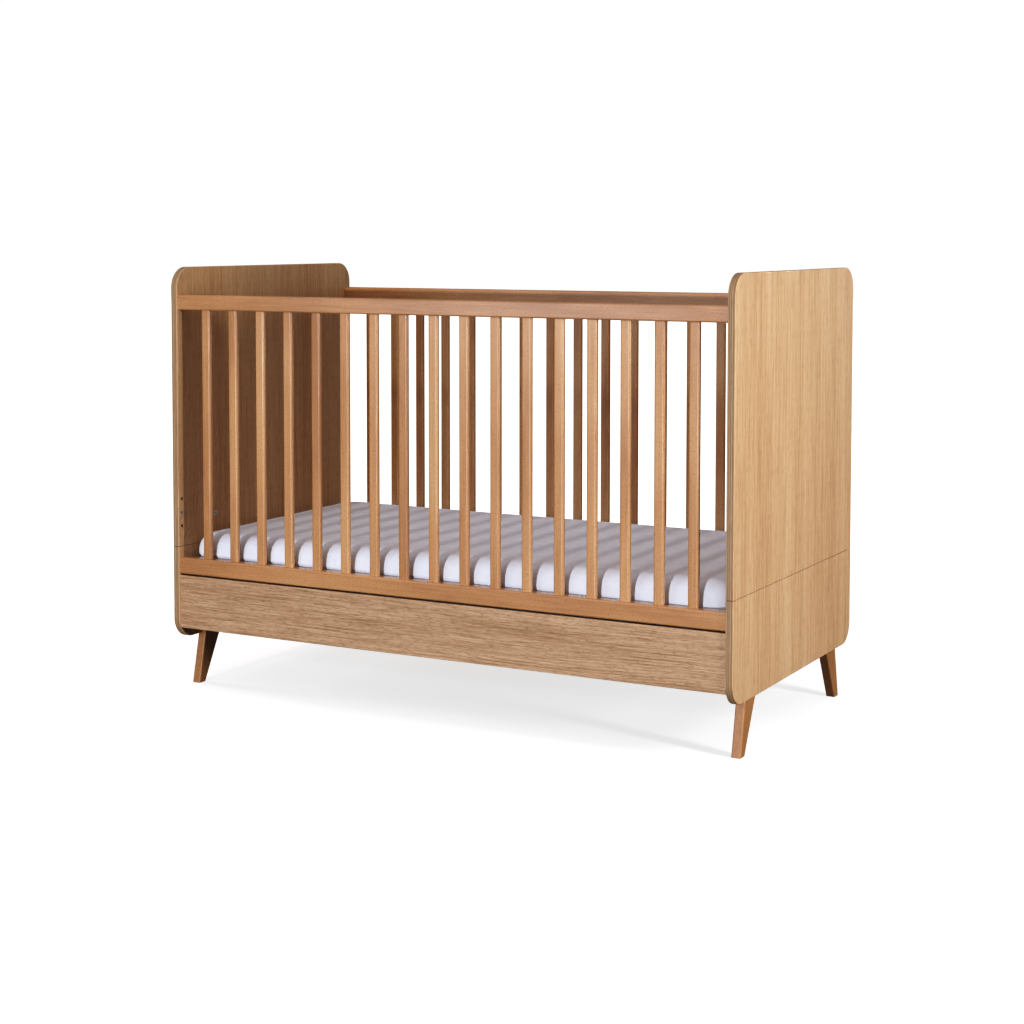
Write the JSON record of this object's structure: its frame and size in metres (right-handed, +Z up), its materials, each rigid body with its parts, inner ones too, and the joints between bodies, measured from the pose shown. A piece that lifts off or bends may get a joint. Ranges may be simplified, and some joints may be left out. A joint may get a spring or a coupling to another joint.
{
  "type": "baby crib",
  "caption": "Slatted wooden baby crib with rounded veneered end panels, slatted side gates, front and rear aprons, splayed legs, a lift-out slatted base and a mattress.",
  "frame": {"origin": "on the floor under the middle of the crib", "axes": "+X along the crib from the left end panel to the right one, +Y from the front gate to the rear gate, +Z up"},
  "size_m": [1.436, 0.756, 1.013],
  "materials": {
    "panel_oak": "matt oak veneer on plywood, upright grain",
    "apron_oak": "matt oak veneer, grain along the board",
    "rail_beech": "satin lacquered beech",
    "slat_beech": "satin lacquered beech",
    "leg_beech": "satin lacquered beech",
    "base_pine": "sanded pine",
    "dowel_beech": "plain beech dowel",
    "mattress_cover": "fine knitted cotton jersey",
    "bracket_steel": "zinc plated steel",
    "insert_steel": "zinc plated steel",
    "bolt_steel": "zinc plated steel",
    "cam_zinc": "die-cast zinc"
  },
  "bodies": {
    "frame": {"left_upper_panel": "panel_oak", "left_lower_panel": "panel_oak", "right_upper_panel": "panel_oak", "right_lower_panel": "panel_oak", "front_top_rail": "rail_beech", "front_bottom_rail": "rail_beech", "rear_top_rail": "rail_beech", "rear_bottom_rail": "rail_beech", "front_slat_01": "slat_beech", "front_slat_02": "slat_beech", "front_slat_03": "slat_beech", "front_slat_04": "slat_beech", "front_slat_05": "slat_beech", "front_slat_06": "slat_beech", "front_slat_07": "slat_beech", "front_slat_08": "slat_beech", "front_slat_09": "slat_beech", "front_slat_10": "slat_beech", "front_slat_11": "slat_beech", "front_slat_12": "slat_beech", "front_slat_13": "slat_beech", "front_slat_14": "slat_beech", "front_slat_15": "slat_beech", "front_slat_16": "slat_beech", "front_slat_17": "slat_beech", "rear_slat_01": "slat_beech", "rear_slat_02": "slat_beech", "rear_slat_03": "slat_beech", "rear_slat_04": "slat_beech", "rear_slat_05": "slat_beech", "rear_slat_06": "slat_beech", "rear_slat_07": "slat_beech", "rear_slat_08": "slat_beech", "rear_slat_09": "slat_beech", "rear_slat_10": "slat_beech", "rear_slat_11": "slat_beech", "rear_slat_12": "slat_beech", "rear_slat_13": "slat_beech", "rear_slat_14": "slat_beech", "rear_slat_15": "slat_beech", "rear_slat_16": "slat_beech", "rear_slat_17": "slat_beech", "front_apron": "apron_oak", "rear_apron": "apron_oak", "front_left_leg": "leg_beech", "front_right_leg": "leg_beech", "rear_left_leg": "leg_beech", "rear_right_leg": "leg_beech", "base_brackets": "bracket_steel", "threaded_inserts": "insert_steel", "cam_studs": "bolt_steel", "cam_nuts": "cam_zinc", "dowels": "dowel_beech", "panel_bolts": "bolt_steel"},
    "mattress_base": {"base_front_rail": "base_pine", "base_rear_rail": "base_pine", "base_end_rails": "base_pine", "base_slats": "base_pine", "base_pegs": "base_pine"},
    "mattress": {"mattress": "mattress_cover"}
  },
  "joints": [
    {"name": "base_height", "type": "slide", "parent": "frame", "child": "mattress_base", "axis": [0, 0, 1], "range_m": [0, 0.228]},
    {"name": "mattress_lift", "type": "slide", "parent": "mattress_base", "child": "mattress", "axis": [0, 0, 1], "range_m": [0, 0.75]}
  ]
}
